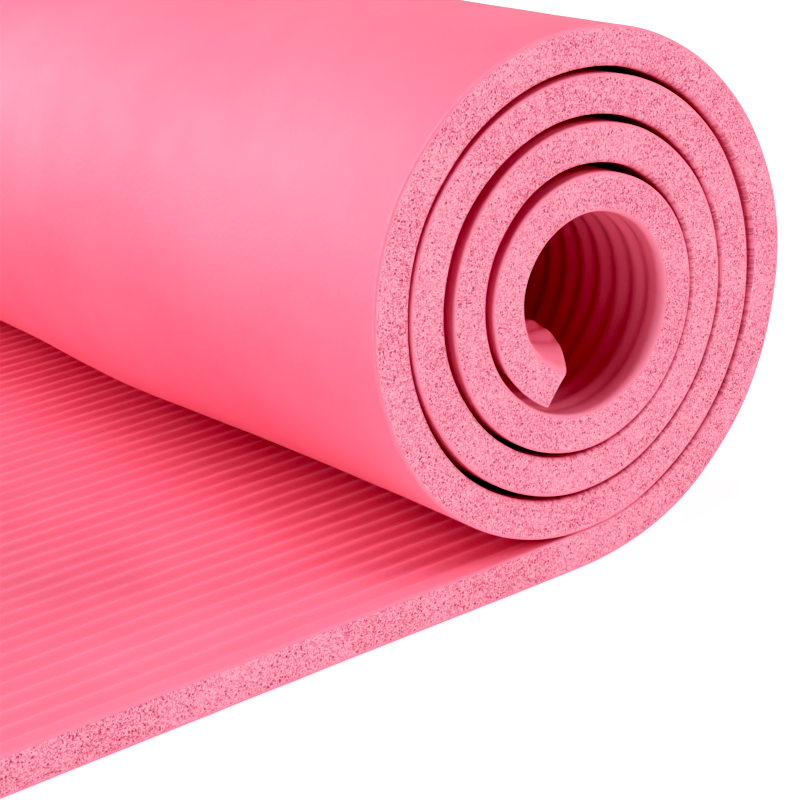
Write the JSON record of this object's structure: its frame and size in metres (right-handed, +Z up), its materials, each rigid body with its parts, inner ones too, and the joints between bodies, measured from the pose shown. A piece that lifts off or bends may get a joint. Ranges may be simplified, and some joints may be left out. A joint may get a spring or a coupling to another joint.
{
  "type": "roll-up foam exercise mat",
  "caption": "Ribbed closed-cell foam exercise mat, partly rolled: a loose spiral roll at one end, the rest lying flat. It unrolls to full length, and its flat end lifts.",
  "frame": {"origin": "on the floor, under the middle of the mat's bounding box as it lies partly rolled", "axes": "+X along the mat's length, from the flat end towards the roll; +Y across its width, along the roll's axis; +Z up"},
  "size_m": [0.6519, 0.61, 0.1396],
  "materials": {
    "foam": "matte"
  },
  "bodies": {
    "tail": {"mat_tail": "foam"},
    "turn_01": {"mat_roll_01": "foam"},
    "turn_02": {"mat_roll_02": "foam"},
    "turn_03": {"mat_roll_03": "foam"},
    "turn_04": {"mat_roll_04": "foam"},
    "turn_05": {"mat_roll_05": "foam"},
    "turn_06": {"mat_roll_06": "foam"},
    "turn_07": {"mat_roll_07": "foam"},
    "turn_08": {"mat_roll_08": "foam"},
    "turn_09": {"mat_roll_09": "foam"},
    "turn_10": {"mat_roll_10": "foam"},
    "turn_11": {"mat_roll_11": "foam"},
    "turn_12": {"mat_roll_12": "foam"},
    "turn_13": {"mat_roll_13": "foam"},
    "turn_14": {"mat_roll_14": "foam"},
    "turn_15": {"mat_roll_15": "foam"},
    "turn_16": {"mat_roll_16": "foam"},
    "turn_17": {"mat_roll_17": "foam"},
    "turn_18": {"mat_roll_18": "foam"},
    "turn_19": {"mat_roll_19": "foam"},
    "turn_20": {"mat_roll_20": "foam"},
    "turn_21": {"mat_roll_21": "foam"},
    "turn_22": {"mat_roll_22": "foam"},
    "turn_23": {"mat_roll_23": "foam"},
    "turn_24": {"mat_roll_24": "foam"},
    "turn_25": {"mat_roll_25": "foam"},
    "turn_26": {"mat_roll_26": "foam"},
    "turn_27": {"mat_roll_27": "foam"},
    "turn_28": {"mat_roll_28": "foam"},
    "turn_29": {"mat_roll_29": "foam"},
    "turn_30": {"mat_roll_30": "foam"},
    "turn_31": {"mat_roll_31": "foam"},
    "turn_32": {"mat_roll_32": "foam"},
    "turn_33": {"mat_roll_33": "foam"},
    "turn_34": {"mat_roll_34": "foam"},
    "turn_35": {"mat_roll_35": "foam"},
    "turn_36": {"mat_roll_36": "foam"},
    "turn_37": {"mat_roll_37": "foam"},
    "turn_38": {"mat_roll_38": "foam"},
    "turn_39": {"mat_roll_39": "foam"},
    "turn_40": {"mat_roll_40": "foam"},
    "turn_41": {"mat_roll_41": "foam"},
    "turn_42": {"mat_roll_42": "foam"},
    "turn_43": {"mat_roll_43": "foam"},
    "turn_44": {"mat_roll_44": "foam"},
    "turn_45": {"mat_roll_45": "foam"},
    "turn_46": {"mat_roll_46": "foam"},
    "turn_47": {"mat_roll_47": "foam"},
    "turn_48": {"mat_roll_48": "foam"},
    "turn_49": {"mat_roll_49": "foam"},
    "turn_50": {"mat_roll_50": "foam"},
    "turn_51": {"mat_roll_51": "foam"},
    "turn_52": {"mat_roll_52": "foam"},
    "turn_53": {"mat_roll_53": "foam"},
    "turn_54": {"mat_roll_54": "foam"},
    "end_01": {"mat_end_01": "foam"},
    "end_02": {"mat_end_02": "foam"},
    "end_03": {"mat_end_03": "foam"},
    "end_04": {"mat_end_04": "foam"},
    "end_05": {"mat_end_05": "foam"}
  },
  "joints": [
    {"name": "unroll", "type": "hinge", "parent": "tail", "child": "turn_01", "pos_m": [0.25421, 0, 0], "axis": [0, 1, 0], "range_deg": [0, 10.84]},
    {"name": "unroll_02", "type": "hinge", "parent": "turn_01", "child": "turn_02", "pos_m": [0.28104, 0, 0.00514], "axis": [0, 1, 0], "range_deg": [0, 21.78]},
    {"name": "unroll_03", "type": "hinge", "parent": "turn_02", "child": "turn_03", "pos_m": [0.30392, 0, 0.01977], "axis": [0, 1, 0], "range_deg": [0, 21.88]},
    {"name": "unroll_04", "type": "hinge", "parent": "turn_03", "child": "turn_04", "pos_m": [0.31962, 0, 0.04173], "axis": [0, 1, 0], "range_deg": [0, 21.99]},
    {"name": "unroll_05", "type": "hinge", "parent": "turn_04", "child": "turn_05", "pos_m": [0.32591, 0, 0.06781], "axis": [0, 1, 0], "range_deg": [0, 22.09]},
    {"name": "unroll_06", "type": "hinge", "parent": "turn_05", "child": "turn_06", "pos_m": [0.32197, 0, 0.09417], "axis": [0, 1, 0], "range_deg": [0, 22.2]},
    {"name": "unroll_07", "type": "hinge", "parent": "turn_06", "child": "turn_07", "pos_m": [0.30845, 0, 0.11697], "axis": [0, 1, 0], "range_deg": [0, 22.32]},
    {"name": "unroll_08", "type": "hinge", "parent": "turn_07", "child": "turn_08", "pos_m": [0.2874, 0, 0.13284], "axis": [0, 1, 0], "range_deg": [0, 22.43]},
    {"name": "unroll_09", "type": "hinge", "parent": "turn_08", "child": "turn_09", "pos_m": [0.26202, 0, 0.13946], "axis": [0, 1, 0], "range_deg": [0, 22.55]},
    {"name": "unroll_10", "type": "hinge", "parent": "turn_09", "child": "turn_10", "pos_m": [0.23616, 0, 0.13586], "axis": [0, 1, 0], "range_deg": [0, 22.66]},
    {"name": "unroll_11", "type": "hinge", "parent": "turn_10", "child": "turn_11", "pos_m": [0.21377, 0, 0.12264], "axis": [0, 1, 0], "range_deg": [0, 22.79]},
    {"name": "unroll_12", "type": "hinge", "parent": "turn_11", "child": "turn_12", "pos_m": [0.19831, 0, 0.10187], "axis": [0, 1, 0], "range_deg": [0, 22.91]},
    {"name": "unroll_13", "type": "hinge", "parent": "turn_12", "child": "turn_13", "pos_m": [0.19216, 0, 0.07682], "axis": [0, 1, 0], "range_deg": [0, 23.04]},
    {"name": "unroll_14", "type": "hinge", "parent": "turn_13", "child": "turn_14", "pos_m": [0.19628, 0, 0.05147], "axis": [0, 1, 0], "range_deg": [0, 23.16]},
    {"name": "unroll_15", "type": "hinge", "parent": "turn_14", "child": "turn_15", "pos_m": [0.20997, 0, 0.02988], "axis": [0, 1, 0], "range_deg": [0, 23.3]},
    {"name": "unroll_16", "type": "hinge", "parent": "turn_15", "child": "turn_16", "pos_m": [0.23096, 0, 0.01554], "axis": [0, 1, 0], "range_deg": [0, 23.43]},
    {"name": "unroll_17", "type": "hinge", "parent": "turn_16", "child": "turn_17", "pos_m": [0.25576, 0, 0.01075], "axis": [0, 1, 0], "range_deg": [0, 23.57]},
    {"name": "unroll_18", "type": "hinge", "parent": "turn_17", "child": "turn_18", "pos_m": [0.28024, 0, 0.01623], "axis": [0, 1, 0], "range_deg": [0, 23.71]},
    {"name": "unroll_19", "type": "hinge", "parent": "turn_18", "child": "turn_19", "pos_m": [0.3003, 0, 0.03097], "axis": [0, 1, 0], "range_deg": [0, 23.86]},
    {"name": "unroll_20", "type": "hinge", "parent": "turn_19", "child": "turn_20", "pos_m": [0.31259, 0, 0.05239], "axis": [0, 1, 0], "range_deg": [0, 24.01]},
    {"name": "unroll_21", "type": "hinge", "parent": "turn_20", "child": "turn_21", "pos_m": [0.3151, 0, 0.07676], "axis": [0, 1, 0], "range_deg": [0, 24.16]},
    {"name": "unroll_22", "type": "hinge", "parent": "turn_21", "child": "turn_22", "pos_m": [0.30747, 0, 0.09984], "axis": [0, 1, 0], "range_deg": [0, 24.32]},
    {"name": "unroll_23", "type": "hinge", "parent": "turn_22", "child": "turn_23", "pos_m": [0.29115, 0, 0.1176], "axis": [0, 1, 0], "range_deg": [0, 24.48]},
    {"name": "unroll_24", "type": "hinge", "parent": "turn_23", "child": "turn_24", "pos_m": [0.26909, 0, 0.12695], "axis": [0, 1, 0], "range_deg": [0, 24.65]},
    {"name": "unroll_25", "type": "hinge", "parent": "turn_24", "child": "turn_25", "pos_m": [0.24528, 0, 0.12625], "axis": [0, 1, 0], "range_deg": [0, 24.82]},
    {"name": "unroll_26", "type": "hinge", "parent": "turn_25", "child": "turn_26", "pos_m": [0.22409, 0, 0.1157], "axis": [0, 1, 0], "range_deg": [0, 24.99]},
    {"name": "unroll_27", "type": "hinge", "parent": "turn_26", "child": "turn_27", "pos_m": [0.2094, 0, 0.09728], "axis": [0, 1, 0], "range_deg": [0, 25.17]},
    {"name": "unroll_28", "type": "hinge", "parent": "turn_27", "child": "turn_28", "pos_m": [0.20397, 0, 0.07449], "axis": [0, 1, 0], "range_deg": [0, 25.35]},
    {"name": "unroll_29", "type": "hinge", "parent": "turn_28", "child": "turn_29", "pos_m": [0.20878, 0, 0.0517], "axis": [0, 1, 0], "range_deg": [0, 25.54]},
    {"name": "unroll_30", "type": "hinge", "parent": "turn_29", "child": "turn_30", "pos_m": [0.22285, 0, 0.03333], "axis": [0, 1, 0], "range_deg": [0, 25.74]},
    {"name": "unroll_31", "type": "hinge", "parent": "turn_30", "child": "turn_31", "pos_m": [0.24334, 0, 0.02297], "axis": [0, 1, 0], "range_deg": [0, 25.94]},
    {"name": "unroll_32", "type": "hinge", "parent": "turn_31", "child": "turn_32", "pos_m": [0.2661, 0, 0.02261], "axis": [0, 1, 0], "range_deg": [0, 26.15]},
    {"name": "unroll_33", "type": "hinge", "parent": "turn_32", "child": "turn_33", "pos_m": [0.28649, 0, 0.03221], "axis": [0, 1, 0], "range_deg": [0, 26.37]},
    {"name": "unroll_34", "type": "hinge", "parent": "turn_33", "child": "turn_34", "pos_m": [0.30035, 0, 0.04968], "axis": [0, 1, 0], "range_deg": [0, 26.6]},
    {"name": "unroll_35", "type": "hinge", "parent": "turn_34", "child": "turn_35", "pos_m": [0.30488, 0, 0.07126], "axis": [0, 1, 0], "range_deg": [0, 26.83]},
    {"name": "unroll_36", "type": "hinge", "parent": "turn_35", "child": "turn_36", "pos_m": [0.29925, 0, 0.09233], "axis": [0, 1, 0], "range_deg": [0, 27.07]},
    {"name": "unroll_37", "type": "hinge", "parent": "turn_36", "child": "turn_37", "pos_m": [0.2848, 0, 0.10837], "axis": [0, 1, 0], "range_deg": [0, 27.32]},
    {"name": "unroll_38", "type": "hinge", "parent": "turn_37", "child": "turn_38", "pos_m": [0.2648, 0, 0.11593], "axis": [0, 1, 0], "range_deg": [0, 27.58]},
    {"name": "unroll_39", "type": "hinge", "parent": "turn_38", "child": "turn_39", "pos_m": [0.24375, 0, 0.11339], "axis": [0, 1, 0], "range_deg": [0, 27.84]},
    {"name": "unroll_40", "type": "hinge", "parent": "turn_39", "child": "turn_40", "pos_m": [0.22646, 0, 0.10142], "axis": [0, 1, 0], "range_deg": [0, 28.12]},
    {"name": "unroll_41", "type": "hinge", "parent": "turn_40", "child": "turn_41", "pos_m": [0.21691, 0, 0.08286], "axis": [0, 1, 0], "range_deg": [0, 28.41]},
    {"name": "unroll_42", "type": "hinge", "parent": "turn_41", "child": "turn_42", "pos_m": [0.21734, 0, 0.06215], "axis": [0, 1, 0], "range_deg": [0, 28.71]},
    {"name": "unroll_43", "type": "hinge", "parent": "turn_42", "child": "turn_43", "pos_m": [0.22756, 0, 0.04435], "axis": [0, 1, 0], "range_deg": [0, 29.03]},
    {"name": "unroll_44", "type": "hinge", "parent": "turn_43", "child": "turn_44", "pos_m": [0.24494, 0, 0.03385], "axis": [0, 1, 0], "range_deg": [0, 29.36]},
    {"name": "unroll_45", "type": "hinge", "parent": "turn_44", "child": "turn_45", "pos_m": [0.26499, 0, 0.03323], "axis": [0, 1, 0], "range_deg": [0, 29.7]},
    {"name": "unroll_46", "type": "hinge", "parent": "turn_45", "child": "turn_46", "pos_m": [0.28245, 0, 0.04247], "axis": [0, 1, 0], "range_deg": [0, 30.07]},
    {"name": "unroll_47", "type": "hinge", "parent": "turn_46", "child": "turn_47", "pos_m": [0.29278, 0, 0.05896], "axis": [0, 1, 0], "range_deg": [0, 30.45]},
    {"name": "unroll_48", "type": "hinge", "parent": "turn_47", "child": "turn_48", "pos_m": [0.29332, 0, 0.07808], "axis": [0, 1, 0], "range_deg": [0, 30.86]},
    {"name": "unroll_49", "type": "hinge", "parent": "turn_48", "child": "turn_49", "pos_m": [0.28414, 0, 0.0945], "axis": [0, 1, 0], "range_deg": [0, 31.28]},
    {"name": "unroll_50", "type": "hinge", "parent": "turn_49", "child": "turn_50", "pos_m": [0.26801, 0, 0.10364], "axis": [0, 1, 0], "range_deg": [0, 31.73]},
    {"name": "unroll_51", "type": "hinge", "parent": "turn_50", "child": "turn_51", "pos_m": [0.24974, 0, 0.10294], "axis": [0, 1, 0], "range_deg": [0, 32.2]},
    {"name": "unroll_52", "type": "hinge", "parent": "turn_51", "child": "turn_52", "pos_m": [0.23483, 0, 0.09275], "axis": [0, 1, 0], "range_deg": [0, 32.7]},
    {"name": "unroll_53", "type": "hinge", "parent": "turn_52", "child": "turn_53", "pos_m": [0.22787, 0, 0.07632], "axis": [0, 1, 0], "range_deg": [0, 33.24]},
    {"name": "unroll_54", "type": "hinge", "parent": "turn_53", "child": "turn_54", "pos_m": [0.23101, 0, 0.05898], "axis": [0, 1, 0], "range_deg": [0, 33.81]},
    {"name": "lift_end", "type": "hinge", "parent": "tail", "child": "end_01", "pos_m": [-0.12598, 0, 0.01], "axis": [0, 1, 0], "range_deg": [0, 18]},
    {"name": "lift_end_02", "type": "hinge", "parent": "end_01", "child": "end_02", "pos_m": [-0.16598, 0, 0.01], "axis": [0, 1, 0], "range_deg": [0, 18.02]},
    {"name": "lift_end_03", "type": "hinge", "parent": "end_02", "child": "end_03", "pos_m": [-0.20598, 0, 0.01], "axis": [0, 1, 0], "range_deg": [0, 18.02]},
    {"name": "lift_end_04", "type": "hinge", "parent": "end_03", "child": "end_04", "pos_m": [-0.24598, 0, 0.01], "axis": [0, 1, 0], "range_deg": [0, 18.02]},
    {"name": "lift_end_05", "type": "hinge", "parent": "end_04", "child": "end_05", "pos_m": [-0.28598, 0, 0.01], "axis": [0, 1, 0], "range_deg": [0, 18.02]}
  ],
  "couplings": [
    {"joint": "unroll_02", "follows": "unroll", "ratio": 2.0081},
    {"joint": "unroll_03", "follows": "unroll", "ratio": 2.0176},
    {"joint": "unroll_04", "follows": "unroll", "ratio": 2.0274},
    {"joint": "unroll_05", "follows": "unroll", "ratio": 2.0373},
    {"joint": "unroll_06", "follows": "unroll", "ratio": 2.0474},
    {"joint": "unroll_07", "follows": "unroll", "ratio": 2.0577},
    {"joint": "unroll_08", "follows": "unroll", "ratio": 2.0683},
    {"joint": "unroll_09", "follows": "unroll", "ratio": 2.079},
    {"joint": "unroll_10", "follows": "unroll", "ratio": 2.0899},
    {"joint": "unroll_11", "follows": "unroll", "ratio": 2.1011},
    {"joint": "unroll_12", "follows": "unroll", "ratio": 2.1125},
    {"joint": "unroll_13", "follows": "unroll", "ratio": 2.1241},
    {"joint": "unroll_14", "follows": "unroll", "ratio": 2.136},
    {"joint": "unroll_15", "follows": "unroll", "ratio": 2.1482},
    {"joint": "unroll_16", "follows": "unroll", "ratio": 2.1607},
    {"joint": "unroll_17", "follows": "unroll", "ratio": 2.1735},
    {"joint": "unroll_18", "follows": "unroll", "ratio": 2.1867},
    {"joint": "unroll_19", "follows": "unroll", "ratio": 2.2001},
    {"joint": "unroll_20", "follows": "unroll", "ratio": 2.214},
    {"joint": "unroll_21", "follows": "unroll", "ratio": 2.2281},
    {"joint": "unroll_22", "follows": "unroll", "ratio": 2.2427},
    {"joint": "unroll_23", "follows": "unroll", "ratio": 2.2576},
    {"joint": "unroll_24", "follows": "unroll", "ratio": 2.2728},
    {"joint": "unroll_25", "follows": "unroll", "ratio": 2.2885},
    {"joint": "unroll_26", "follows": "unroll", "ratio": 2.3046},
    {"joint": "unroll_27", "follows": "unroll", "ratio": 2.3211},
    {"joint": "unroll_28", "follows": "unroll", "ratio": 2.3381},
    {"joint": "unroll_29", "follows": "unroll", "ratio": 2.3557},
    {"joint": "unroll_30", "follows": "unroll", "ratio": 2.3738},
    {"joint": "unroll_31", "follows": "unroll", "ratio": 2.3925},
    {"joint": "unroll_32", "follows": "unroll", "ratio": 2.4119},
    {"joint": "unroll_33", "follows": "unroll", "ratio": 2.4319},
    {"joint": "unroll_34", "follows": "unroll", "ratio": 2.4527},
    {"joint": "unroll_35", "follows": "unroll", "ratio": 2.4741},
    {"joint": "unroll_36", "follows": "unroll", "ratio": 2.4964},
    {"joint": "unroll_37", "follows": "unroll", "ratio": 2.5194},
    {"joint": "unroll_38", "follows": "unroll", "ratio": 2.5432},
    {"joint": "unroll_39", "follows": "unroll", "ratio": 2.5678},
    {"joint": "unroll_40", "follows": "unroll", "ratio": 2.5934},
    {"joint": "unroll_41", "follows": "unroll", "ratio": 2.6201},
    {"joint": "unroll_42", "follows": "unroll", "ratio": 2.6479},
    {"joint": "unroll_43", "follows": "unroll", "ratio": 2.6769},
    {"joint": "unroll_44", "follows": "unroll", "ratio": 2.7074},
    {"joint": "unroll_45", "follows": "unroll", "ratio": 2.7394},
    {"joint": "unroll_46", "follows": "unroll", "ratio": 2.7731},
    {"joint": "unroll_47", "follows": "unroll", "ratio": 2.8085},
    {"joint": "unroll_48", "follows": "unroll", "ratio": 2.8458},
    {"joint": "unroll_49", "follows": "unroll", "ratio": 2.8851},
    {"joint": "unroll_50", "follows": "unroll", "ratio": 2.9264},
    {"joint": "unroll_51", "follows": "unroll", "ratio": 2.9701},
    {"joint": "unroll_52", "follows": "unroll", "ratio": 3.0164},
    {"joint": "unroll_53", "follows": "unroll", "ratio": 3.0657},
    {"joint": "unroll_54", "follows": "unroll", "ratio": 3.1183},
    {"joint": "lift_end_02", "follows": "lift_end", "ratio": 1},
    {"joint": "lift_end_03", "follows": "lift_end", "ratio": 1},
    {"joint": "lift_end_04", "follows": "lift_end", "ratio": 1},
    {"joint": "lift_end_05", "follows": "lift_end", "ratio": 1}
  ]
}
